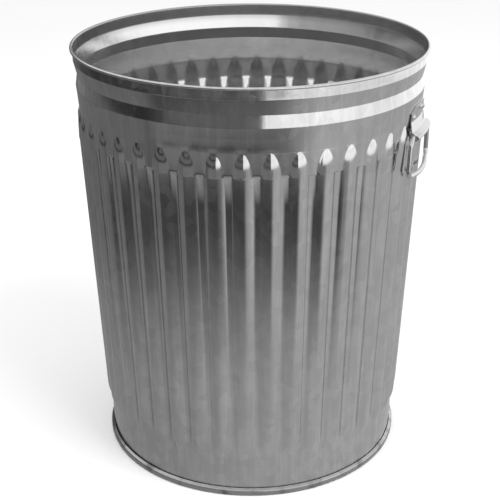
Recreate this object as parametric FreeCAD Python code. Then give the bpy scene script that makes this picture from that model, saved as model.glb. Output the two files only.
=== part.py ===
# A tapered, ribbed sheet-steel refuse can without its lid: open mouth with a wired rim,
# two drop handles, a raised bottom pan and a hoop round the foot.
# Millimetres and degrees.  +Z is up, the origin is the centre of the foot on the floor,
# and the two handles lie on +X and -X.

import FreeCAD, Part
import os
from math import atan2, cos, degrees, hypot, radians, sin, sqrt, tan

# ---------------------------------------------------------------- driving dimensions

# overall
can_height = 647.0            # floor to the top of the rolled rim
rim_radius = 266.7            # outside of the rolled rim
body_sheet = 0.8              # body wall

# rolled rim
bead_diameter = 4.6           # outside of the curl
curl_end_angle = -122.0       # where the curl stops, short of the wall
wire_clearance = 0.05         # between the rim wire and the curl

# bands of the body from the rim down
mouth_band = 16.2             # upright band that a lid would grip
flare_band = 20.5             # wall falls in from the mouth to the neck
flare_depth = 4.9
swedge_band = 17.5            # wall swells out again below the neck
swedge_depth = 2.6
shoulder_band = 14.5          # steeper cone under the swell
shoulder_fall = 1.2
plain_band = 21.0             # plain cone down to the tops of the ribs
plain_fall = 1.6

# tapered, ribbed wall
taper = 2.737                 # half angle of the cone
rib_count = 42
rib_rise = 4.4                # crest of a rib beyond the plain cone
valley_sink = 1.6             # valley floor behind the plain cone
rib_width = 26.0              # foot of a rib, flank to flank, on the plain cone
crest_radius = 13.0
valley_side = 1.6             # sideways run of the slopes from a rib down into a valley
foot_corner = 0.9             # rounding where a flank turns down into a valley
dome_height = 34.0            # height over which a rib rises at its top
rib_foot_height = 28.0        # height over which it dies out at its bottom
rib_bottom = 62.0             # lowest point of a rib
sunk_bottom = 35.0            # lower edge of the sunk valley floor
ledge_height = 1.6            # height of the small slopes at both ends of the valleys

# bottom pan
pan_sheet = 1.0
pan_rise = 20.0               # floor to the top of the pan's floor
pan_corner = 6.0
pan_fit = 0.05                # between the pan's skirt and the wall
pan_ring_radius = 150.0       # pressed stiffening ring
pan_ring_width = 26.0
pan_ring_depth = 3.0

# hoop round the foot
hoop_sheet = 1.2
hoop_height = 11.6
hoop_reach = 5.6              # outer face beyond the wall
hoop_inner_leg = 9.0
hoop_corner = 1.6
hoop_outer_corner = 2.4
hoop_fit = 0.05

# handle brackets
bracket_sheet = 1.8
bracket_width = 82.0
bracket_top_width = 48.0
bracket_above_ribs = 20.5     # top edge above the tops of the ribs, on the plain cone
bracket_side_height = 13.0    # full width reaches this far above the tops of the ribs
bracket_seat = 0.05
plate_bend_height = 1.0       # where the plate leaves the wall, above the tops of the ribs
plate_bend = 8.0
hood_line_drop = 15.0         # where the hood starts, below the tops of the ribs
hood_rib_gap = 0.35           # between the hood line and the ribs under it
hood_bend = 4.0
hood_reach = 11.5
hood_fall = 6.5
hood_hem = 4.5                # the hood's edge turns back in and down by these
hood_hem_drop = 4.0
hood_corner = 2.0
ear_wall_gap = 1.0            # the hood's turned-down ends stop short of the wall
knuckle_wall = 1.6
knuckle_length = 10.5
knuckle_gap = 1.2             # between a knuckle's inner end and the plain cone behind it

# bails
bail_wire = 7.0
bail_play = 0.05              # radial play of a pin in its knuckle
bail_axis_drop = 21.2         # hinge axis below the tops of the ribs
bail_rib_gap = 4.9            # between the hanging grip and the crests behind it
pin_overhang = 1.5            # a pin's end past the inner end of its knuckle
bail_top_half_width = 56.0
bail_bottom_half_width = 60.0
bail_drop = 58.8              # hinge axis to the middle of the grip
bail_sag = 5.0                # the grip's middle hangs below its corners
bail_lean = 1.0               # the lower corners hang this far in from the hinge axis
bail_bow_half_width = 20.0    # the grip bows outwards between these corners
bail_bow_bend = 150.0
bail_shoulder_bend = 9.0
bail_grip_bend = 10.0

# rivets
rivet_shank = 4.8
rivet_head = 9.0
rivet_head_height = 2.2
rivet_tail = 8.0
rivet_tail_height = 1.4
rivet_seat = 0.1
upper_rivet_height = 14.5     # above the tops of the ribs
lower_rivet_height = 6.5
lower_rivet_spread = 32.0

# ---------------------------------------------------------------- worked out from them

bead_radius = bead_diameter / 2
rim_axis_radius = rim_radius - bead_radius
rim_axis_z = can_height - bead_radius
mouth_radius = rim_axis_radius - bead_radius + body_sheet
flare_z = rim_axis_z - mouth_band
neck_z = flare_z - flare_band
neck_radius = mouth_radius - flare_depth
swedge_z = neck_z - swedge_band
swedge_radius = neck_radius + swedge_depth
shoulder_z = swedge_z - shoulder_band
shoulder_radius = swedge_radius - shoulder_fall
rib_top_z = shoulder_z - plain_band
rib_top_radius = shoulder_radius - plain_fall
sunk_top = rib_top_z - dome_height
slope = tan(radians(taper))
wall_bottom = hoop_sheet + hoop_fit
pitch_angle = 360.0 / rib_count
dome_radius = (dome_height ** 2 + rib_rise ** 2) / (2 * rib_rise)
foot_depth = rib_rise + valley_sink
foot_radius = (rib_foot_height ** 2 + foot_depth ** 2) / (2 * foot_depth)
end_overrun = 1.25            # a rib's curved ends run on this much, into the wall
cut_spare = 20.0              # a cutting tool's length past the end of what it cuts


def plain_radius(z):
    """Outside of the plain cone at height z."""
    return rib_top_radius - (rib_top_z - z) * slope


def wall_profile(inset):
    """Points (radius, z) of the wall's outside from the rim axis down, moved in by inset."""
    valley_top = sunk_top - ledge_height
    valley_foot = sunk_bottom + ledge_height
    points = [
        (mouth_radius, rim_axis_z),
        (mouth_radius, flare_z),
        (neck_radius, neck_z),
        (swedge_radius, swedge_z),
        (shoulder_radius, shoulder_z),
        (rib_top_radius, rib_top_z),
        (plain_radius(sunk_top), sunk_top),
        (plain_radius(valley_top) - valley_sink, valley_top),
        (plain_radius(valley_foot) - valley_sink, valley_foot),
        (plain_radius(sunk_bottom), sunk_bottom),
        (plain_radius(wall_bottom), wall_bottom),
    ]
    return [(radius - inset, z) for radius, z in points]


def crest_rise(z):
    """Rise of a rib's crest beyond the plain cone at height z, at the domed top."""
    above = z - sunk_top
    return sqrt(dome_radius ** 2 - above ** 2) - (dome_radius - rib_rise)


def wall_radius(z):
    """Outside of the wall between the ribs and the rim at height z."""
    points = wall_profile(0.0)
    for (upper_radius, upper_z), (lower_radius, lower_z) in zip(points, points[1:]):
        if z >= lower_z:
            share = (z - lower_z) / (upper_z - lower_z)
            return lower_radius + share * (upper_radius - lower_radius)
    return plain_radius(z)


# ---------------------------------------------------------------- helpers

X = FreeCAD.Vector(1, 0, 0)
Y = FreeCAD.Vector(0, 1, 0)
Z = FreeCAD.Vector(0, 0, 1)
ORIGIN = FreeCAD.Vector(0, 0, 0)


def spun(face, angle=360.0, start=0.0):
    """Solid made by turning a face of the XZ plane about the can's axis."""
    solid = face.revolve(ORIGIN, Z, angle)
    solid.rotate(ORIGIN, Z, start)
    return solid


def spun_ring(face):
    """A full turn made as two joined half turns, so that no face closes on itself."""
    half = spun(face, 180.0)
    return half.fuse(turned(half, 180.0)).Solids[0]


def polygon_face(points):
    """Face of the XZ plane inside the given (x, z) corners."""
    corners = [FreeCAD.Vector(x, 0, z) for x, z in points]
    return Part.Face(Part.makePolygon(corners + corners[:1]))


def rounded_edges(corners, bends):
    """Lines joined by tangent arcs; bends holds one radius for each inner corner."""
    edges = []
    start = corners[0]
    for before, corner, after, radius in zip(corners, corners[1:], corners[2:], bends):
        back = (before - corner).normalize()
        ahead = (after - corner).normalize()
        half_cosine = sqrt((1 + back.dot(ahead)) / 2)
        half_sine = sqrt(1 - half_cosine ** 2)
        trim = radius * half_cosine / half_sine
        sag = radius / half_sine - radius
        arc_start = corner + back * trim
        arc_middle = corner + (back + ahead).normalize() * sag
        arc_end = corner + ahead * trim
        edges.append(Part.LineSegment(start, arc_start).toShape())
        edges.append(Part.Arc(arc_start, arc_middle, arc_end).toShape())
        start = arc_end
    edges.append(Part.LineSegment(start, corners[-1]).toShape())
    return edges


def shifted_path(points, distance):
    """The path moved sideways to its left by distance, with its corners kept sharp."""
    normals = []
    for (x0, z0), (x1, z1) in zip(points, points[1:]):
        length = hypot(x1 - x0, z1 - z0)
        normals.append((-(z1 - z0) / length, (x1 - x0) / length))
    moved = [(points[0][0] + normals[0][0] * distance, points[0][1] + normals[0][1] * distance)]
    for (x, z), first, second in zip(points[1:], normals, normals[1:]):
        scale = distance / (1 + first[0] * second[0] + first[1] * second[1])
        moved.append((x + (first[0] + second[0]) * scale, z + (first[1] + second[1]) * scale))
    moved.append((points[-1][0] + normals[-1][0] * distance, points[-1][1] + normals[-1][1] * distance))
    return moved


def sheet_face(points, bends, thickness):
    """Section of a bent sheet in the XZ plane; the path is its middle, the bends its middle radii."""
    half = thickness / 2
    left_bends = []
    right_bends = []
    for before, corner, after, radius in zip(points, points[1:], points[2:], bends):
        turn = (corner[0] - before[0]) * (after[1] - corner[1])
        turn -= (corner[1] - before[1]) * (after[0] - corner[0])
        side = 1 if turn > 0 else -1
        left_bends.append(radius - side * half)
        right_bends.append(radius + side * half)
    left = [FreeCAD.Vector(x, 0, z) for x, z in shifted_path(points, half)]
    right = [FreeCAD.Vector(x, 0, z) for x, z in shifted_path(points, -half)]
    edges = rounded_edges(left, left_bends)
    edges.append(Part.LineSegment(left[-1], right[-1]).toShape())
    edges += rounded_edges(right, right_bends)
    edges.append(Part.LineSegment(right[0], left[0]).toShape())
    return Part.Face(Part.Wire(Part.__sortEdges__(edges)))


def turned(solid, angle):
    """A copy turned about the can's axis."""
    copy = solid.copy()
    copy.rotate(ORIGIN, Z, angle)
    return copy


def export(name, shape):
    shape.exportStep(os.path.join("parts", name + ".step"))
    box = shape.BoundBox
    print(name, shape.ShapeType, len(shape.Solids), shape.isValid(), round(shape.Volume, 1),
          [round(v, 2) for v in (box.XMin, box.XMax, box.YMin, box.YMax, box.ZMin, box.ZMax)])


# ---------------------------------------------------------------- body shell

def rib_section(inset):
    """Rounded ridge across a rib, its crest at the origin: x is out of the wall, y along it."""
    half_width = rib_width / 2
    flank = atan2(rib_rise, half_width)
    for _ in range(8):
        apex = crest_radius * (1 / cos(flank) - 1)
        flank = atan2(rib_rise + apex, half_width)
    root_depth = foot_depth + crest_radius
    root_width = half_width + (root_depth - rib_rise) * valley_side / valley_sink
    outside = [
        (-root_depth, root_width),
        (-rib_rise, half_width),
        (apex, 0.0),
        (-rib_rise, -half_width),
        (-root_depth, -root_width),
    ]
    path = [FreeCAD.Vector(x, y, 0) for x, y in shifted_path(outside, -inset)]
    edges = rounded_edges(path, [foot_corner, crest_radius - inset, foot_corner])
    edges.append(Part.LineSegment(path[-1], path[0]).toShape())
    return Part.Face(Part.Wire(edges))


def rib_solid(inset):
    """One rib on +X: a straight ridge along the cone whose two ends curve into the wall."""
    crest_low = rib_bottom + rib_foot_height
    crest_high = sunk_top
    length = (crest_high - crest_low) / cos(radians(taper))
    straight = rib_section(inset).extrude(Z * length)
    top_turn = degrees(atan2(dome_height, dome_radius - rib_rise)) * end_overrun
    foot_turn = degrees(atan2(rib_foot_height, foot_radius - foot_depth)) * end_overrun
    top_face = rib_section(inset)
    top_face.translate(Z * length)
    top_end = top_face.revolve(FreeCAD.Vector(-dome_radius, 0, length), Y, -top_turn)
    foot_end = rib_section(inset).revolve(FreeCAD.Vector(-foot_radius, 0, 0), Y, foot_turn)
    rib = straight.fuse([top_end, foot_end])
    rib.rotate(ORIGIN, Y, taper)
    rib.translate(FreeCAD.Vector(plain_radius(crest_low) + rib_rise, 0, crest_low))
    return rib


def wall_core(inset, spare):
    """Solid inside the wall's surface; spare lengthens it past both ends."""
    points = wall_profile(inset)
    top = points[0][1] + spare
    foot = points[-1][1] - spare
    if spare > 0:
        points = [(points[0][0], top)] + points + [(points[-1][0], foot)]
    return spun(polygon_face([(0, top)] + points + [(0, foot)]))


def ribbed_solid(inset, spare):
    rib = rib_solid(inset)
    ribs = [turned(rib, (number + 0.5) * pitch_angle) for number in range(rib_count)]
    return wall_core(inset, spare).multiFuse(ribs)


def rim_curl():
    """The wall's top edge rolled outwards round the rim wire."""
    def on_circle(radius, angle):
        x = rim_axis_radius + radius * cos(radians(angle))
        z = rim_axis_z + radius * sin(radians(angle))
        return FreeCAD.Vector(x, 0, z)

    inner = bead_radius - body_sheet
    middle = (180 + curl_end_angle) / 2
    edges = [
        Part.Arc(on_circle(bead_radius, 180), on_circle(bead_radius, middle),
                 on_circle(bead_radius, curl_end_angle)).toShape(),
        Part.LineSegment(on_circle(bead_radius, curl_end_angle),
                         on_circle(inner, curl_end_angle)).toShape(),
        Part.Arc(on_circle(inner, curl_end_angle), on_circle(inner, middle),
                 on_circle(inner, 180)).toShape(),
        Part.LineSegment(on_circle(inner, 180), on_circle(bead_radius, 180)).toShape(),
    ]
    return spun(Part.Face(Part.Wire(edges)))


def body_shell():
    wall = ribbed_solid(0.0, 0.0).cut(ribbed_solid(body_sheet, cut_spare))
    shell = wall.fuse(rim_curl())
    for side in (0, 180):
        for cutter in rivet_holes():
            shell = shell.cut(turned(cutter, side))
    return shell.Solids[0]


def rim_wire():
    radius = bead_radius - body_sheet - wire_clearance
    circle = Part.makeCircle(radius, FreeCAD.Vector(rim_axis_radius, 0, rim_axis_z), Y)
    return spun(Part.Face(Part.Wire(circle)))


# ---------------------------------------------------------------- foot

def bottom_pan():
    """Raised floor of the can with its skirt down inside the wall and a pressed ring."""
    half = pan_sheet / 2
    floor_z = pan_rise - half
    skirt_foot = hoop_sheet + hoop_corner
    inset = body_sheet + pan_fit + half
    ring_outer = pan_ring_radius + pan_ring_width / 2
    ring_inner = pan_ring_radius - pan_ring_width / 2
    ring_slope = 2 * pan_ring_depth
    path = [
        (plain_radius(skirt_foot) - inset, skirt_foot),
        (plain_radius(floor_z) - inset, floor_z),
        (ring_outer, floor_z),
        (ring_outer - ring_slope, floor_z + pan_ring_depth),
        (ring_inner + ring_slope, floor_z + pan_ring_depth),
        (ring_inner, floor_z),
        (0, floor_z),
    ]
    bends = [pan_corner, ring_slope, ring_slope, ring_slope, ring_slope]
    return spun(sheet_face(path, bends, pan_sheet))


def bottom_hoop():
    """Rolled channel that grips the foot of the wall and the skirt of the pan."""
    half = hoop_sheet / 2
    inner_leg = plain_radius(0) - body_sheet - pan_fit - pan_sheet - hoop_fit - half
    outer_leg = plain_radius(hoop_height) + hoop_reach - half
    lip_z = hoop_height - half
    path = [
        (inner_leg, hoop_inner_leg),
        (inner_leg, half),
        (outer_leg, half),
        (outer_leg, lip_z - half - hoop_corner),
        (plain_radius(lip_z) + hoop_fit + half, lip_z),
    ]
    bends = [hoop_corner, hoop_outer_corner, hoop_corner]
    return spun_ring(sheet_face(path, bends, hoop_sheet))


# ---------------------------------------------------------------- handles

bracket_top_z = rib_top_z + bracket_above_ribs
plate_bend_z = rib_top_z + plate_bend_height
hood_line_z = rib_top_z - hood_line_drop
bail_axis_z = rib_top_z - bail_axis_drop
grip_z = bail_axis_z - bail_drop
grip_x = plain_radius(grip_z) + rib_rise + bail_rib_gap + bail_wire / 2
knuckle_outer = bail_wire / 2 + bail_play + knuckle_wall
knuckle_inner_end = bracket_width / 2 - knuckle_length
cone_behind_knuckle = sqrt(plain_radius(bail_axis_z) ** 2 - knuckle_inner_end ** 2)
bail_axis_x = cone_behind_knuckle + knuckle_gap + knuckle_outer


def rivet_places():
    """Sideways position and height of each rivet of a bracket."""
    upper = rib_top_z + upper_rivet_height
    lower = rib_top_z + lower_rivet_height
    return [(0.0, upper), (-lower_rivet_spread, lower), (lower_rivet_spread, lower)]


def rivet_frame(side_step, z):
    """Angle round the can and placement that puts a part's +Z along a rivet's outward axis."""
    radius = wall_radius(z)
    angle = degrees(atan2(side_step, sqrt(radius ** 2 - side_step ** 2)))
    tilt = 90.0 + degrees(atan2(plain_fall, plain_band))
    seat = FreeCAD.Vector(radius, 0, z)
    return angle, FreeCAD.Placement(seat, FreeCAD.Rotation(Y, tilt))


def rivet_holes():
    holes = []
    reach = 4 * bracket_sheet
    for side_step, z in rivet_places():
        angle, frame = rivet_frame(side_step, z)
        hole = Part.makeCylinder(rivet_shank / 2, 2 * reach, FreeCAD.Vector(0, 0, -reach), Z)
        hole.Placement = frame
        holes.append(turned(hole, angle))
    return holes


def rivet(side_step, z):
    """Domed head outside, plain shank through bracket and wall, flattened tail inside."""
    angle, frame = rivet_frame(side_step, z)
    head_seat = bracket_seat + bracket_sheet + rivet_seat
    tail_seat = -body_sheet - rivet_seat
    head_radius = rivet_head / 2
    ball_radius = (head_radius ** 2 + rivet_head_height ** 2) / (2 * rivet_head_height)
    ball_centre = head_seat + rivet_head_height - ball_radius
    ball = Part.makeSphere(ball_radius, FreeCAD.Vector(0, 0, ball_centre))
    slab = Part.makeCylinder(rivet_head, rivet_head, FreeCAD.Vector(0, 0, head_seat), Z)
    head = ball.common(slab)
    tail_foot = FreeCAD.Vector(0, 0, tail_seat - rivet_tail_height)
    tail = Part.makeCylinder(rivet_tail / 2, rivet_tail_height, tail_foot, Z)
    shank_length = head_seat - tail_seat + rivet_tail_height + rivet_head_height / 2
    shank = Part.makeCylinder(rivet_shank / 2 - rivet_seat, shank_length, tail_foot, Z)
    solid = head.fuse([tail, shank]).Solids[0]
    solid.Placement = frame
    return turned(solid, angle)


def bracket():
    """Riveted plate that swells over the ribs into a hood, with two knuckles for the bail."""
    half = bracket_sheet / 2
    off = bracket_seat + half
    hood_line_radius = plain_radius(hood_line_z) + crest_rise(hood_line_z) + hood_rib_gap + half
    hood_edge = (hood_line_radius + hood_reach, hood_line_z - hood_fall)
    path = [
        (wall_radius(bracket_top_z) + off, bracket_top_z),
        (wall_radius(plate_bend_z) + off, plate_bend_z),
        (hood_line_radius, hood_line_z),
        hood_edge,
        (hood_edge[0] - hood_hem, hood_edge[1] - hood_hem_drop),
    ]
    sheet = sheet_face(path, [plate_bend, hood_bend, hood_corner], bracket_sheet)
    spread = 2 * degrees(atan2(bracket_width / 2, wall_radius(hood_line_z)))
    band = spun(sheet, spread, -spread / 2)
    side_z = rib_top_z + bracket_side_height
    foot_z = hood_edge[1] - hood_reach
    half_width = bracket_width / 2
    half_top = bracket_top_width / 2
    outline = [(-half_width, foot_z), (half_width, foot_z), (half_width, side_z),
               (half_top, bracket_top_z), (-half_top, bracket_top_z), (-half_width, side_z)]
    corners = [FreeCAD.Vector(0, y, z) for y, z in outline]
    blank = Part.Face(Part.makePolygon(corners + corners[:1])).extrude(X * 2 * rim_radius)
    plate = band.common(blank)
    for hole in rivet_holes():
        plate = plate.cut(hole)
    ear_foot_z = bail_axis_z - knuckle_outer
    ear_face = polygon_face([
        (hood_line_radius, hood_line_z),
        hood_edge,
        (path[-1][0], path[-1][1]),
        (path[-1][0], ear_foot_z),
        (plain_radius(ear_foot_z) + ear_wall_gap, ear_foot_z),
        (plain_radius(hood_line_z) + ear_wall_gap, hood_line_z),
    ])
    ear_ring = spun(ear_face, spread, -spread / 2)
    lugs = []
    bores = []
    for start in (-half_width, knuckle_inner_end):
        base = FreeCAD.Vector(bail_axis_x, start, bail_axis_z)
        lugs.append(Part.makeCylinder(knuckle_outer, knuckle_length, base, Y))
        bore_base = FreeCAD.Vector(bail_axis_x, start - knuckle_length, bail_axis_z)
        bores.append(Part.makeCylinder(bail_wire / 2 + bail_play, 3 * knuckle_length, bore_base, Y))
    for start in (-half_width, half_width - bracket_sheet):
        slab_foot = FreeCAD.Vector(0, start, ear_foot_z)
        slab = Part.makeBox(2 * rim_radius, bracket_sheet, bracket_width, slab_foot, Z)
        lugs.append(ear_ring.common(slab))
    return plate.fuse(lugs).cut(bores[0]).cut(bores[1]).Solids[0]


def bail():
    """Wire handle that hangs from the two knuckles, its grip bowed to follow the can."""
    pin_end = knuckle_inner_end - pin_overhang
    one_side = [
        FreeCAD.Vector(bail_axis_x, -pin_end, bail_axis_z),
        FreeCAD.Vector(bail_axis_x, -bail_top_half_width, bail_axis_z),
        FreeCAD.Vector(bail_axis_x - bail_lean, -bail_bottom_half_width, grip_z + bail_sag),
        FreeCAD.Vector(grip_x, -bail_bow_half_width, grip_z),
    ]
    other_side = [FreeCAD.Vector(corner.x, -corner.y, corner.z) for corner in reversed(one_side)]
    bends = [bail_shoulder_bend, bail_grip_bend, bail_bow_bend]
    spine = Part.Wire(rounded_edges(one_side + other_side, bends + bends[::-1]))
    section = Part.Wire(Part.makeCircle(bail_wire / 2, one_side[0], Y))
    return spine.makePipeShell([section], True, False)


# ---------------------------------------------------------------- build

def main():
    os.makedirs("parts", exist_ok=True)
    export("rim_wire", rim_wire())
    export("bottom_pan", bottom_pan())
    export("bottom_hoop", bottom_hoop())
    right_bracket = bracket()
    right_bail = bail()
    right_rivets = Part.Compound([rivet(*place) for place in rivet_places()])
    for side, angle in (("right", 0), ("left", 180)):
        export(side + "_handle_bracket", turned(right_bracket, angle))
        export(side + "_bail", turned(right_bail, angle))
        export(side + "_bracket_rivets", turned(right_rivets, angle))
    export("body_shell", body_shell())
    print("hinge axis x %.3f z %.3f" % (bail_axis_x, bail_axis_z))


main()
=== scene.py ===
"""Dresses a ribbed, galvanized refuse can in a small studio.

The body is rolled here as a finer sheet. The other pieces keep their solids and get a finish.

Metres, +Z up, the origin at the centre of the foot, the handles on +X and -X.
"""

from math import atan2, cos, hypot, pi, radians, sin, sqrt, tan

import bmesh
import bpy
from bpy.props import FloatProperty, FloatVectorProperty, IntProperty, PointerProperty
from bpy.types import Operator, Panel, PropertyGroup
from mathutils import Matrix, Vector, noise


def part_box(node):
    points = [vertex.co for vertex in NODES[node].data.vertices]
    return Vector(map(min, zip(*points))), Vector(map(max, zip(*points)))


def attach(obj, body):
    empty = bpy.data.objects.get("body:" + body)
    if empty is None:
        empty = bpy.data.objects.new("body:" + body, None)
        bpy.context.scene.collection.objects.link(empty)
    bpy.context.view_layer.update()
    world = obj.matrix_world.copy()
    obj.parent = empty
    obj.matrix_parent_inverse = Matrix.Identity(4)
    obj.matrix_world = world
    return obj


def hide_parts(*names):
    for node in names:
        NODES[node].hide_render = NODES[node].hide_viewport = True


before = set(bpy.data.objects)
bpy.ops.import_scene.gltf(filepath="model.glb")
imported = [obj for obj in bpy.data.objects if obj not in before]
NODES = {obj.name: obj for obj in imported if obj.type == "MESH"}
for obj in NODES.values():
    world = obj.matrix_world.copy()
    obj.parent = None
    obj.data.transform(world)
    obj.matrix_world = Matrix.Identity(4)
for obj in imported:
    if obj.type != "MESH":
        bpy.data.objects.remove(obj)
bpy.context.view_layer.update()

bl_info = {
    "name": "Galvanized Refuse Can",
    "version": (1, 0, 0),
    "blender": (4, 5, 0),
    "location": "View3D > Sidebar > Refuse Can",
    "description": "Builds and finishes a ribbed sheet-steel refuse can with drop handles",
    "category": "Add Mesh",
}

MM = 0.001
SHELL_LOW, SHELL_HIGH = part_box("body_shell")
SIDES = ("right", "left")

# body sheet
RIM_BEAD = 2.3 * MM           # outer radius of the rolled rim
CURL_POINTS = 11
CURL_START = -122.0           # degrees, where the rim's curl ends under itself
CURL_STEP = 30.2
# creases of the plain band: how far in from the mouth, and how far below the rim's centre
BAND_CREASES = (
    (0.0, 0.0),
    (0.0, 16.2 * MM),
    (4.9 * MM, 36.7 * MM),
    (2.3 * MM, 54.2 * MM),
    (3.5 * MM, 68.7 * MM),
)
CREASE_REACH = 0.7 * MM       # a crease bends within this height on each side
RIB_TOP_INSET = 5.1 * MM      # the cone at the ribs' tops lies this far in from the mouth
RIB_TOP_DROP = 89.7 * MM      # the ribs' tops below the rim's centre
DOME_HEIGHT = 34.0 * MM       # height of a rib's domed top
DOME_POWER = 2.3
DOME_ROWS = 14
CONE_TAPER = radians(2.737)
VALLEY_SINK = 1.6 * MM        # valley floor behind the plain cone
VALLEY_LEDGE = 1.6 * MM       # the valley's short slope under the domed tops
VALLEY_LOW = 35.0 * MM        # the valley comes back to the cone here
VALLEY_FADE = 34.0 * MM       # and does so over this height
RIB_LOW = 62.0 * MM           # lower ends of the ribs
RIB_FOOT = 28.0 * MM          # height over which a rib runs out into the cone
CREST_ROUND = 13.0 * MM       # radius of a rib's crest
CREASE_SOFTNESS = 0.22 * MM   # rounding where a rib meets its valley
# sideways places of the mesh columns over half a rib and half a valley, from the valley inwards
COLUMN_PLACES = (15.1 * MM, 13.7 * MM, 12.6 * MM, 9.0 * MM, 5.2 * MM, 2.6 * MM)
GATHER_ABOVE = 12.0 * MM      # the columns even out over this height above the ribs
GATHER_BELOW = 20.0 * MM      # and over this height below them
AT_EDGE = 0.1 * MM            # a vertex this close to an edge of the wall counts as on it
# waves of the sheet: how closely they follow round the can and up it, their shift and their share
LONG_WAVE = (3.2, 6.0, 0.0, 1.2)
SHORT_WAVE = (11.0, 9.0, 5.0, 0.9)
PUCKER = (30.0, 22.0, 0.0, 0.5)
RIBBED_CALM = 0.4             # ribs stiffen the sheet, so that it waves less there
RIM_FADE = 14.0 * MM          # the waves die out over this height below the rim
FOOT_FADE = 20.0 * MM         # and over this height above the foot

# camera fitted to the photograph's ellipses, in the can's own frame
CAMERA_PLACE = Vector((-0.0122, -1.6782, 1.0401))
CAMERA_PITCH = radians(23.64)
CAMERA_YAW = 0.0063
CAMERA_ROLL = -0.0042
CAMERA_LENS = 82.16
CAMERA_SENSOR = 36.0
HANDLE_TURN = radians(20.1)   # the photographed can is turned this far about its axis

# studio
FLOOR_HALF = 30.0
TENT_WALL = 1.45
TENT_SEGMENTS = 96
TENT_DROP = 0.001             # the tent's ground cloth lies this far under the floor
TENT_SEAM = 0.005             # the wall's glow starts at this height
# glow of the tent's parts
WALL_RIGHT = 1.16
WALL_FAR_LEFT = 0.12
WALL_STRIP = 0.13
WALL_LEAST = 0.038
GROUND_RIGHT = 0.44
GROUND_BEYOND = 0.16
GROUND_LEFT = 0.11
GROUND_LEAST = 0.065
LAMP_AIM = (0.0, 0.0, 0.3)
LAMPS = (
    # name, place before the can is turned, width and depth, watts
    ("key_lamp", (1.6, -1.4, 2.6), (1.8, 1.8), 55.0),
    ("fill_lamp", (-1.9, -1.2, 2.2), (2.0, 2.0), 22.0),
)
WORLD_STRENGTH = 0.95


# ------------------------------------------------------------------ properties


class CanSizes(PropertyGroup):
    height: FloatProperty(
        name="Height", description="Floor to the top of the rolled rim",
        default=SHELL_HIGH.z - 0.04 * MM, unit="LENGTH", subtype="DISTANCE")
    rim_radius: FloatProperty(
        name="Rim radius", description="Axis to the outside of the rolled rim",
        default=min(SHELL_HIGH.x, SHELL_HIGH.y) - 0.04 * MM, unit="LENGTH", subtype="DISTANCE")
    sheet: FloatProperty(
        name="Sheet", description="Thickness of the body sheet",
        default=0.8 * MM, unit="LENGTH", subtype="DISTANCE")
    rib_count: IntProperty(
        name="Ribs", description="Number of pressed ribs round the body", default=42, min=3)
    rib_rise: FloatProperty(
        name="Rib rise", description="Crest of a rib beyond the plain cone",
        default=4.4 * MM, unit="LENGTH", subtype="DISTANCE")
    rib_width: FloatProperty(
        name="Rib width", description="Width of a rib at its foot",
        default=26.0 * MM, unit="LENGTH", subtype="DISTANCE")


class CanFinish(PropertyGroup):
    zinc: FloatVectorProperty(
        name="Zinc", description="Colour of the bright zinc coat",
        default=(0.70, 0.70, 0.70), size=3, min=0.0, max=1.0, subtype="COLOR")
    dull_zinc: FloatVectorProperty(
        name="Dull zinc", description="Colour of the weathered zinc inside and under the can",
        default=(0.62, 0.62, 0.62), size=3, min=0.0, max=1.0, subtype="COLOR")
    grime: FloatVectorProperty(
        name="Grime", description="Colour of dirt in seams and scuffs",
        default=(0.10, 0.10, 0.10), size=3, min=0.0, max=1.0, subtype="COLOR")
    roughness: FloatProperty(
        name="Roughness", description="Gloss of the rolled sheet",
        default=0.115, min=0.0, max=1.0, subtype="FACTOR")
    ripple: FloatProperty(
        name="Ripple", description="Depth of the waves that rolling leaves in the sheet",
        default=0.16 * MM, unit="LENGTH", subtype="DISTANCE")


class CanStudio(PropertyGroup):
    floor: FloatVectorProperty(
        name="Floor", description="Colour of the plain floor",
        default=(0.92, 0.92, 0.92), size=3, min=0.0, max=1.0, subtype="COLOR")
    tent_radius: FloatProperty(
        name="Tent radius", description="Radius of the light tent that the metal mirrors",
        default=2.25, unit="LENGTH", subtype="DISTANCE")


# ------------------------------------------------------------------ helpers


def between(share):
    """The share kept from 0 to 1."""
    return max(0.0, min(1.0, share))


def finished(name, bm, material, body, nodes=()):
    """Makes the bmesh an object at the origin that rides on a body and stands for some nodes."""
    mesh = bpy.data.meshes.new(name)
    bm.to_mesh(mesh)
    bm.free()
    mesh.shade_smooth()
    mesh.materials.append(material)
    piece = bpy.data.objects.new(name, mesh)
    bpy.context.scene.collection.objects.link(piece)
    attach(piece, body)
    if nodes:
        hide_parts(*nodes)
    return piece


def dress(node, material):
    """Gives a node of the frame its material."""
    NODES[node].data.materials.clear()
    NODES[node].data.materials.append(material)


def wire(points):
    """A bmesh holding one chain of edges in the XZ plane."""
    bm = bmesh.new()
    corners = [bm.verts.new((x, 0.0, z)) for x, z in points]
    for first, second in zip(corners, corners[1:]):
        bm.edges.new((first, second))
    return bm


def spun(bm, steps):
    """Spins everything in the bmesh once round the can's axis."""
    bmesh.ops.spin(
        bm, geom=bm.verts[:] + bm.edges[:], cent=(0, 0, 0), axis=(0, 0, 1), dvec=(0, 0, 0),
        angle=2 * pi, steps=steps, use_merge=True, use_normal_flip=False, use_duplicate=False)
    bmesh.ops.remove_doubles(bm, verts=bm.verts, dist=1e-6)
    bmesh.ops.recalc_face_normals(bm, faces=bm.faces)


def thicken(piece, thickness, offset):
    """Live sheet thickness on a surface."""
    modifier = piece.modifiers.new("sheet", "SOLIDIFY")
    modifier.thickness = thickness
    modifier.offset = offset
    modifier.use_even_offset = True


# ------------------------------------------------------------------ materials


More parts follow.
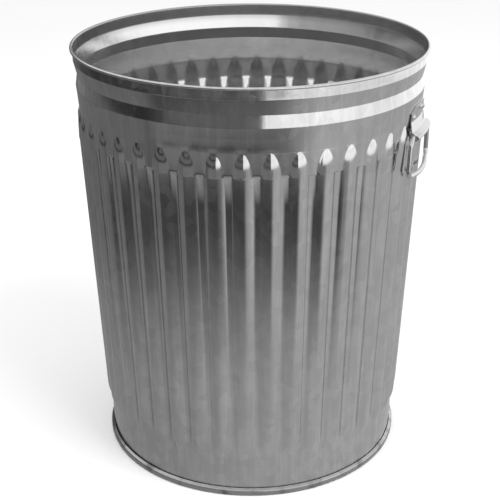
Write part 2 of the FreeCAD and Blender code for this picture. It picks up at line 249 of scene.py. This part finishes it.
class Tree:
    """Short way to build a node material."""

    def __init__(self, name):
        self.material = bpy.data.materials.new(name)
        self.material.use_nodes = True
        self.nodes = self.material.node_tree.nodes
        self.links = self.material.node_tree.links
        self.nodes.clear()

    def add(self, kind, settings=None, **inputs):
        node = self.nodes.new(kind)
        for key, value in (settings or {}).items():
            setattr(node, key, value)
        for key, value in inputs.items():
            numbered = key[0] == "i" and key[1:].isdigit()
            socket = node.inputs[int(key[1:]) if numbered else key]
            if isinstance(value, bpy.types.NodeSocket):
                self.links.new(value, socket)
            else:
                socket.default_value = value
        return node

    def math(self, operation, a, b=0.0, clamp=False):
        node = self.add("ShaderNodeMath", {"operation": operation, "use_clamp": clamp}, i0=a, i1=b)
        return node.outputs[0]

    def plus(self, first, second):
        return self.math("ADD", first, second)

    def times(self, first, second):
        return self.math("MULTIPLY", first, second)

    def ramp(self, value, low, high):
        """Value mapped smoothly from the low pair to the high pair: (in, out)."""
        settings = {"interpolation_type": "SMOOTHSTEP"}
        node = self.add("ShaderNodeMapRange", settings, i0=value, i1=low[0], i2=high[0],
                        i3=low[1], i4=high[1])
        return node.outputs[0]

    def rise(self, value, start, end):
        return self.ramp(value, (start, 0.0), (end, 1.0))

    def fall(self, value, start, end):
        return self.ramp(value, (start, 1.0), (end, 0.0))

    def mix(self, factor, a, b):
        node = self.add("ShaderNodeMix", {"data_type": "FLOAT"}, i0=factor, i2=a, i3=b)
        return node.outputs[0]

    def blend(self, factor, a, b):
        node = self.add("ShaderNodeMix", {"data_type": "RGBA"}, i0=factor, i6=a, i7=b)
        return node.outputs[2]

    def surface(self, shader):
        """Ends the tree in a shader and gives the material."""
        out = self.add("ShaderNodeOutputMaterial")
        self.links.new(shader.outputs[0], out.inputs["Surface"])
        return self.material


def shade(colour, level):
    """The colour made darker or paler by one level, with its alpha."""
    return tuple(min(1.0, level * channel) for channel in colour) + (1.0,)


def zinc_sheet(name, bright, grime, roughness, streak, spangle, dirt, inside_painted_light_and_satin=0.0):
    """Hot-dip zinc: faint crystals, vertical rolling streaks, fine grain and dirt low down."""
    tree = Tree(name)
    place = tree.add("ShaderNodeTexCoord").outputs["Object"]

    def stretched(scale):
        return tree.add("ShaderNodeMapping", None, Vector=place, Scale=scale).outputs[0]

    def noisy(scale, detail, vector):
        node = tree.add("ShaderNodeTexNoise", None, Vector=vector, Scale=scale, Detail=detail)
        return node.outputs[0]

    streaks = noisy(1.0, 3.0, stretched((95.0, 95.0, 2.2)))
    fine_streaks = noisy(1.0, 2.0, stretched((420.0, 420.0, 9.0)))
    clouds = noisy(9.0, 4.0, place)
    grain = noisy(1500.0, 2.0, place)
    cells = tree.add("ShaderNodeTexVoronoi", None, Vector=stretched((1.0, 1.0, 0.7)), Scale=85.0)
    crystal = tree.add("ShaderNodeSeparateColor", None, i0=cells.outputs["Color"]).outputs[0]

    tone = tree.plus(tree.times(streaks, 0.16 * streak), tree.times(clouds, 0.05))
    tone = tree.plus(tone, tree.times(crystal, 0.05 * spangle))
    tone = tree.plus(tone, tree.times(fine_streaks, 0.05 * streak))
    colour = tree.blend(tree.rise(tone, 0.10, 0.26), shade(bright, 0.84), shade(bright, 1.10))

    height = tree.add("ShaderNodeSeparateXYZ", None, i0=place).outputs[2]
    low_down = tree.fall(height, 0.0, 0.05)
    blotches = tree.rise(noisy(38.0, 5.0, place), 0.50, 0.72)
    soiled = tree.times(tree.plus(tree.times(low_down, 0.6), 0.12), blotches)
    soiled = tree.math("MULTIPLY", soiled, dirt, clamp=True)
    colour = tree.blend(soiled, colour, shade(grime, 1.0))

    gloss = tree.plus(tree.times(crystal, 0.05 * spangle), roughness - 0.04)
    gloss = tree.plus(gloss, tree.times(clouds, 0.04))
    gloss = tree.plus(gloss, tree.times(soiled, 0.35))

    metallic = 1.0
    if inside_painted_light_and_satin:
        # painted light makes the inside of a round shell paler than its outside, and its finish is
        # more satin; painted shade dims the inside at its mouth
        normal = tree.add("ShaderNodeNewGeometry").outputs["Normal"]
        flat = tree.add("ShaderNodeVectorMath", {"operation": "MULTIPLY"}, i0=place,
                        i1=(1.0, 1.0, 0.0)).outputs[0]
        outward = tree.add("ShaderNodeVectorMath", {"operation": "DOT_PRODUCT"}, i0=normal,
                           i1=flat).outputs["Value"]
        inside = tree.fall(outward, -0.03, 0.03)
        # painted light: the inside's colour is made paler
        colour = tree.blend(tree.times(inside, inside_painted_light_and_satin), colour, shade(bright, 1.2))
        # painted shade: the inside is darkened just below the rim
        painted_mouth_shade = tree.ramp(height, (SHELL_HIGH.z - 0.030, 0.0), (SHELL_HIGH.z - 0.012, 0.8))
        colour = tree.blend(tree.times(inside, painted_mouth_shade), colour, shade(bright, 0.45))
        gloss = tree.plus(gloss, tree.times(inside, 0.06 * inside_painted_light_and_satin))
        metallic = tree.math("SUBTRACT", 1.0, tree.times(inside, 0.06 * inside_painted_light_and_satin))

    relief = tree.plus(tree.times(fine_streaks, 0.30 * streak), tree.times(grain, 0.10))
    relief = tree.plus(relief, tree.times(crystal, 0.10 * spangle))
    bump = tree.add("ShaderNodeBump", None, Strength=0.25, Distance=0.0004, Height=relief)
    shader = tree.add("ShaderNodeBsdfPrincipled", None, Metallic=metallic, Roughness=gloss,
                      Normal=bump.outputs[0])
    tree.links.new(colour, shader.inputs["Base Color"])
    return tree.surface(shader)


def material(name):
    """One of the can's finishes, made once."""
    found = bpy.data.materials.get(name)
    if found:
        return found
    finish = bpy.context.scene.can_finish
    bright = tuple(finish.zinc)
    rough = finish.roughness
    recipes = {
        # the body sheet gets painted light on its inside and painted shade inside its mouth
        "bright_zinc": dict(bright=bright, roughness=rough, streak=1.0, spangle=1.0, dirt=0.35,
                            inside_painted_light_and_satin=0.9),
        "dull_zinc": dict(bright=tuple(finish.dull_zinc), roughness=rough + 0.18, streak=0.5,
                          spangle=1.6, dirt=0.8),
        "hoop_zinc": dict(bright=tuple(0.78 * channel for channel in bright),
                          roughness=rough + 0.03, streak=0.3, spangle=0.4, dirt=0.9),
        "wire_zinc": dict(bright=bright, roughness=rough + 0.04, streak=0.2, spangle=0.3,
                          dirt=0.3),
        "bracket_zinc": dict(bright=bright, roughness=rough + 0.04, streak=0.2, spangle=0.4,
                             dirt=0.3),
        "rivet_zinc": dict(bright=bright, roughness=rough + 0.08, streak=0.2, spangle=0.3,
                           dirt=0.6),
    }
    return zinc_sheet(name, grime=tuple(finish.grime), **recipes[name])


# ------------------------------------------------------------------ body sheet


class BodyForm:
    """Outside of the wall: a stepped profile with ribs pressed out of it."""

    def __init__(self, sizes):
        self.sheet = sizes.sheet
        self.count = sizes.rib_count
        self.rise = sizes.rib_rise
        self.half_rib = sizes.rib_width / 2
        self.rim_axis = sizes.rim_radius - RIM_BEAD
        self.rim_z = sizes.height - RIM_BEAD
        self.mouth = self.rim_axis - RIM_BEAD + self.sheet
        self.top = self.rim_z - RIB_TOP_DROP
        self.shelf = self.top - DOME_HEIGHT
        self.taper = tan(CONE_TAPER)
        self.top_radius = self.mouth - RIB_TOP_INSET
        self.low = SHELL_LOW.z
        # slope of a rib's flank, found so that the rounded crest keeps its full rise
        self.flank = atan2(self.rise, self.half_rib)
        for _ in range(8):
            apex = CREST_ROUND * (1 / cos(self.flank) - 1)
            self.flank = atan2(self.rise + apex, self.half_rib)
        self.bend = CREST_ROUND * sin(self.flank)
        self.bend_drop = CREST_ROUND * (1 - cos(self.flank))

    def plain(self, z):
        return self.top_radius - (self.top - z) * self.taper

    def rows(self):
        """(radius, z) of the rows down the plain wall, close together at each crease."""
        creases = [(self.mouth - inset, self.rim_z - drop) for inset, drop in BAND_CREASES]
        creases.append((self.top_radius, self.top))
        rows = []
        for (upper_radius, upper_z), (radius, z) in zip(creases, creases[1:]):
            close = CREASE_REACH / (upper_z - z)
            for share in (close, 0.35, 0.68, 1 - close, 1.0):
                rows.append((upper_radius + (radius - upper_radius) * share,
                             upper_z + (z - upper_z) * share))
        heights = [self.top - (self.top - self.shelf) * (number / DOME_ROWS) ** 2
                   for number in range(1, DOME_ROWS + 1)]
        heights += [self.shelf - VALLEY_LEDGE * 0.5, self.shelf - VALLEY_LEDGE]
        for low, cuts in ((RIB_LOW + RIB_FOOT, 10), (RIB_LOW, 8), (VALLEY_LOW, 4), (self.low, 3)):
            high = heights[-1]
            heights += [high + (low - high) * (number + 1) / cuts for number in range(cuts)]
        return rows + [(self.plain(z), z) for z in heights]

    def columns(self):
        """Sideways places across one pitch, from one valley's middle to the next."""
        side = list(COLUMN_PLACES)
        return [None] + [-place for place in side] + [0.0] + side[::-1]

    def gathering(self, z):
        """Share of its full width that a rib's outline has at height z, at its domed top."""
        if z <= self.shelf:
            return 1.0
        rise = max(0.0, self.crest(z))
        if rise < self.bend_drop:
            reach = sqrt(CREST_ROUND ** 2 - (CREST_ROUND - rise) ** 2)
        else:
            reach = self.bend + (rise - self.bend_drop) / tan(self.flank)
        return max(0.1, reach / self.half_rib)

    def crest(self, z):
        """Rise of a crest at height z beyond the plain cone; below zero it is under the wall."""
        if z >= self.shelf:
            share = (self.top - z) / (self.top - self.shelf)
            return self.rise * (1 - (1 - share) ** DOME_POWER) if share > 0 else -self.rise
        if z <= RIB_LOW + RIB_FOOT:
            share = max(0.0, (z - RIB_LOW) / RIB_FOOT)
            depth = self.rise + VALLEY_SINK
            return self.rise - depth * (1 - share) ** 2
        return self.rise

    def valley(self, z):
        """How far the wall between the ribs lies behind the plain cone."""
        above = (self.shelf - z) / VALLEY_LEDGE
        below = (z - VALLEY_LOW) / VALLEY_FADE
        share = between(min(above, below))
        return VALLEY_SINK * share * share * (3 - 2 * share)

    def offset(self, u, z):
        """Radial step of the wall from the plain cone, u from a crest, at height z."""
        ridge = self.crest(z)
        if u < self.bend:
            ridge -= CREST_ROUND - sqrt(CREST_ROUND ** 2 - u * u)
        else:
            ridge -= self.bend_drop + (u - self.bend) * tan(self.flank)
        if u > self.half_rib:
            ridge -= (u - self.half_rib) * (1 - tan(self.flank))
        ground = -self.valley(z)
        gap = ridge - ground
        return ground + (gap + sqrt(gap * gap + CREASE_SOFTNESS * CREASE_SOFTNESS)) / 2


def rolled_body(sizes, finish):
    """The can's wall as one surface at the middle of the sheet, with its rim curled outwards."""
    form = BodyForm(sizes)
    half = form.sheet / 2
    curl = RIM_BEAD - half
    points = []
    for number in range(CURL_POINTS):
        angle = radians(CURL_START + number * CURL_STEP)
        points.append((form.rim_axis + curl * cos(angle), form.rim_z + curl * sin(angle)))
    points += [(radius - half, z) for radius, z in form.rows()]
    bm = wire(points)
    columns = form.columns()
    steps = form.count * len(columns)
    spun(bm, steps)
    pitch = 2 * pi / form.count
    for vertex in bm.verts:
        x, y, z = vertex.co
        radius = hypot(x, y)
        if z > form.rim_z - AT_EDGE:
            continue
        angle = atan2(y, x)
        step = round(angle / pitch * len(columns))
        rib, column = divmod(step, len(columns))
        side = columns[column]
        centre = (rib + 0.5) * pitch
        # columns gather at the crest and foot of each rib, over the ribbed height only
        near = between((form.top + GATHER_ABOVE - z) / GATHER_ABOVE)
        if z < RIB_LOW:
            near = between(1 - (RIB_LOW - z) / GATHER_BELOW)
        even = (column / len(columns) - 0.5) * pitch
        bent = even if side is None else even + (side * form.gathering(z) / radius - even) * near
        angle = centre + bent
        if form.low + AT_EDGE < z < form.top + AT_EDGE:
            radius += form.offset(abs(bent) * radius, z)
        radius += ripple(angle, z, form, finish.ripple)
        vertex.co = (radius * cos(angle), radius * sin(angle), z)
    return bm


def wave_at(angle, z, wave):
    """One wave's rise at a place on the wall."""
    around, along, shift, share = wave
    place = Vector((cos(angle) * around, sin(angle) * around, z * along + shift))
    return noise.noise(place) * share


def ripple(angle, z, form, depth):
    """Waves left in the sheet by rolling and pressing, dying out at the rim and the foot."""
    fade = between((form.rim_z - z) / RIM_FADE) * between((z - form.low) / FOOT_FADE)
    if fade == 0.0:
        return 0.0
    plain = z > form.shelf
    rise = wave_at(angle, z, LONG_WAVE) + wave_at(angle, z, SHORT_WAVE)
    if plain:
        rise += wave_at(angle, z, PUCKER)
    calm = 1.0 if plain else RIBBED_CALM
    return fade * depth * calm * (rise - 1.0)


class CAN_OT_body(Operator):
    """Roll the ribbed body sheet with its curled rim"""

    bl_idname = "can.body"
    bl_label = "Body Sheet"

    def execute(self, context):
        bm = rolled_body(context.scene.can_sizes, context.scene.can_finish)
        bmesh.ops.recalc_face_normals(bm, faces=bm.faces)
        piece = finished("ribbed_body", bm, material("bright_zinc"), "can",
                         ("body_shell",))
        thicken(piece, context.scene.can_sizes.sheet, 0.0)
        return {"FINISHED"}


class CAN_OT_rim_wire(Operator):
    """Finish the wire inside the rolled rim"""

    bl_idname = "can.rim_wire"
    bl_label = "Rim Wire"

    def execute(self, context):
        dress("rim_wire", material("wire_zinc"))
        return {"FINISHED"}


class CAN_OT_floor_pan(Operator):
    """Finish the raised bottom pan"""

    bl_idname = "can.floor_pan"
    bl_label = "Bottom Pan"

    def execute(self, context):
        dress("bottom_pan", material("dull_zinc"))
        return {"FINISHED"}


class CAN_OT_hoop(Operator):
    """Finish the hoop round the foot"""

    bl_idname = "can.hoop"
    bl_label = "Foot Hoop"

    def execute(self, context):
        dress("bottom_hoop", material("hoop_zinc"))
        return {"FINISHED"}


class CAN_OT_brackets(Operator):
    """Finish the two handle brackets"""

    bl_idname = "can.brackets"
    bl_label = "Handle Brackets"

    def execute(self, context):
        for side in SIDES:
            dress(side + "_handle_bracket", material("bracket_zinc"))
        return {"FINISHED"}


class CAN_OT_bails(Operator):
    """Finish the two wire handles"""

    bl_idname = "can.bails"
    bl_label = "Drop Handles"

    def execute(self, context):
        for side in SIDES:
            dress(side + "_bail", material("wire_zinc"))
        return {"FINISHED"}


class CAN_OT_rivets(Operator):
    """Finish the rivets of the brackets"""

    bl_idname = "can.rivets"
    bl_label = "Rivets"

    def execute(self, context):
        for side in SIDES:
            dress(side + "_bracket_rivets", material("rivet_zinc"))
        return {"FINISHED"}


# ------------------------------------------------------------------ studio


def studio_piece(name, bm, material):
    mesh = bpy.data.meshes.new(name)
    bm.to_mesh(mesh)
    bm.free()
    mesh.materials.append(material)
    piece = bpy.data.objects.new(name, mesh)
    bpy.context.scene.collection.objects.link(piece)
    return piece


def floor_material(colour):
    """Plain pale floor."""
    tree = Tree("studio_floor")
    shader = tree.add("ShaderNodeBsdfPrincipled", None, Roughness=0.9)
    shader.inputs["Base Color"].default_value = tuple(colour) + (1.0,)
    shader.inputs["Specular IOR Level"].default_value = 0.0
    return tree.surface(shader)


def tent_wall(tree, turn, height):
    """Glow of the tent's wall: white cloth to the right; dark cloth, a grey strip and a paler top
    to the left."""
    right = tree.rise(turn, 0.10, 0.15)
    far_left = tree.fall(turn, -2.9, -1.9)
    strip = tree.times(tree.rise(height, 0.46, 0.50), tree.fall(height, 0.64, 0.70))
    strip = tree.times(strip, tree.rise(turn, -1.15, -0.75))
    hem = tree.times(tree.rise(height, 0.10, 0.13), tree.fall(height, 0.34, 0.40))
    strip = tree.plus(strip, hem)
    top_left = tree.plus(tree.times(tree.rise(turn, -0.55, -0.30), 0.85), 0.26)
    top_left = tree.times(top_left, tree.math("SUBTRACT", 1.0, right))
    wall = tree.plus(tree.times(right, WALL_RIGHT), tree.times(far_left, WALL_FAR_LEFT))
    wall = tree.plus(wall, tree.times(strip, WALL_STRIP))
    wall = tree.plus(wall, tree.times(tree.rise(height, 0.90, 0.98), top_left))
    return tree.plus(wall, WALL_LEAST)


def tent_ground(tree, turn, reach):
    """Glow of the ground cloth: bright to the right, a patch in front, pale close to the can."""
    right = tree.rise(turn, 0.12, 0.75)
    left = tree.fall(turn, -1.22, -1.05)
    beyond = tree.times(tree.rise(reach, 1.33, 1.385), tree.rise(turn, -1.22, -1.0))
    ground = tree.math("MAXIMUM", tree.times(beyond, GROUND_BEYOND), tree.times(left, GROUND_LEFT))
    ground = tree.math("MAXIMUM", ground, tree.times(right, GROUND_RIGHT))
    ground = tree.plus(ground, GROUND_LEAST)
    by_can = tree.plus(tree.times(tree.rise(turn, -1.2, 0.9), 0.19), 0.31)
    return tree.mix(tree.fall(reach, 0.40, 1.15), ground, by_can)


def tent_material():
    """Cloth of the light tent; turn is 0 behind the camera and grows to the right."""
    tree = Tree("light_tent")
    place = tree.add("ShaderNodeTexCoord").outputs["Object"]
    x, y, z = tree.add("ShaderNodeSeparateXYZ", None, i0=place).outputs
    turn = tree.math("ARCTAN2", x, tree.times(y, -1.0))
    reach = tree.math("SQRT", tree.plus(tree.times(x, x), tree.times(y, y)))
    on_wall = tree.math("GREATER_THAN", z, TENT_SEAM)
    level = tree.mix(on_wall, tent_ground(tree, turn, reach), tent_wall(tree, turn, z))
    return tree.surface(tree.add("ShaderNodeEmission", None, Strength=level))


def light_tent(radius, turn):
    """Round tent with a ground cloth that only the metal's mirror image sees."""
    bm = bmesh.new()
    bmesh.ops.create_circle(bm, cap_ends=True, segments=TENT_SEGMENTS, radius=radius)
    hem = [edge for edge in bm.edges if edge.is_boundary]
    raised = bmesh.ops.extrude_edge_only(bm, edges=hem)["geom"]
    corners = [part for part in raised if isinstance(part, bmesh.types.BMVert)]
    bmesh.ops.translate(bm, verts=corners, vec=(0, 0, TENT_WALL))
    bmesh.ops.recalc_face_normals(bm, faces=bm.faces)
    bmesh.ops.reverse_faces(bm, faces=bm.faces)
    tent = studio_piece("light_tent", bm, tent_material())
    tent.rotation_euler = (0, 0, turn)
    tent.location.z = -TENT_DROP
    for ray in ("camera", "diffuse", "transmission", "volume_scatter", "shadow"):
        setattr(tent, "visible_" + ray, False)


def area_lamp(name, place, size, watts):
    """Soft lamp aimed low at the can, which the metal doesn't mirror."""
    lamp = bpy.data.lights.new(name, "AREA")
    lamp.shape = "RECTANGLE"
    lamp.size, lamp.size_y = size
    lamp.energy = watts
    holder = bpy.data.objects.new(name, lamp)
    holder.location = place
    holder.rotation_euler = (Vector(LAMP_AIM) - place).to_track_quat("-Z", "Y").to_euler()
    holder.visible_camera = False
    holder.visible_glossy = False
    bpy.context.scene.collection.objects.link(holder)


def photo_camera():
    """Camera where the photograph was taken from, turned with the can's own frame."""
    forward = Vector((sin(CAMERA_YAW) * cos(CAMERA_PITCH), cos(CAMERA_YAW) * cos(CAMERA_PITCH),
                      -sin(CAMERA_PITCH)))
    right = Vector((cos(CAMERA_YAW), -sin(CAMERA_YAW), 0.0))
    up = right.cross(forward)
    tilted_right = right * cos(CAMERA_ROLL) + up * sin(CAMERA_ROLL)
    tilted_up = up * cos(CAMERA_ROLL) - right * sin(CAMERA_ROLL)
    axes = Matrix((tilted_right, tilted_up, -forward)).transposed().to_4x4()
    camera = bpy.data.cameras.new("photo_camera")
    camera.lens = CAMERA_LENS
    camera.sensor_width = CAMERA_SENSOR
    holder = bpy.data.objects.new("photo_camera", camera)
    turn = Matrix.Rotation(HANDLE_TURN, 4, "Z")
    holder.matrix_world = turn @ Matrix.Translation(CAMERA_PLACE) @ axes
    bpy.context.scene.collection.objects.link(holder)
    bpy.context.scene.camera = holder


class CAN_OT_studio(Operator):
    """Set up the floor, light tent, lamps and camera"""

    bl_idname = "can.studio"
    bl_label = "Studio"

    def execute(self, context):
        scene = context.scene
        studio = scene.can_studio
        bm = bmesh.new()
        bmesh.ops.create_grid(bm, x_segments=2, y_segments=2, size=FLOOR_HALF)
        floor = studio_piece("floor", bm, floor_material(studio.floor))
        floor.visible_glossy = False
        light_tent(studio.tent_radius, HANDLE_TURN)
        turn = Matrix.Rotation(HANDLE_TURN, 3, "Z")
        for name, place, size, watts in LAMPS:
            area_lamp(name, turn @ Vector(place), size, watts)
        world = bpy.data.worlds.new("studio_world")
        world.use_nodes = True
        back = world.node_tree.nodes["Background"]
        back.inputs["Color"].default_value = (1.0, 1.0, 1.0, 1.0)
        back.inputs["Strength"].default_value = WORLD_STRENGTH
        scene.world = world
        scene.view_settings.view_transform = "Standard"
        photo_camera()
        return {"FINISHED"}


class CAN_PT_panel(Panel):
    """Steps that build the refuse can"""

    bl_idname = "CAN_PT_panel"
    bl_label = "Refuse Can"
    bl_space_type = "VIEW_3D"
    bl_region_type = "UI"
    bl_category = "Refuse Can"

    def draw(self, context):
        column = self.layout.column()
        for group in ("can_sizes", "can_finish", "can_studio"):
            for name in getattr(context.scene, group).bl_rna.properties.keys():
                if name not in ("rna_type", "name"):
                    column.prop(getattr(context.scene, group), name)
        for step in STEPS:
            column.operator(step.bl_idname)


STEPS = (
    CAN_OT_body,
    CAN_OT_rim_wire,
    CAN_OT_floor_pan,
    CAN_OT_hoop,
    CAN_OT_brackets,
    CAN_OT_bails,
    CAN_OT_rivets,
    CAN_OT_studio,
)
GROUPS = (("can_sizes", CanSizes), ("can_finish", CanFinish), ("can_studio", CanStudio))


def register():
    for name, group in GROUPS:
        bpy.utils.register_class(group)
        setattr(bpy.types.Scene, name, PointerProperty(type=group))
    for step in STEPS:
        bpy.utils.register_class(step)
    bpy.utils.register_class(CAN_PT_panel)


def unregister():
    bpy.utils.unregister_class(CAN_PT_panel)
    for step in reversed(STEPS):
        bpy.utils.unregister_class(step)
    for name, group in reversed(GROUPS):
        delattr(bpy.types.Scene, name)
        bpy.utils.unregister_class(group)


def main():
    register()
    for step in STEPS:
        family, action = step.bl_idname.split(".")
        getattr(getattr(bpy.ops, family), action)()


if __name__ == "__main__":
    main()
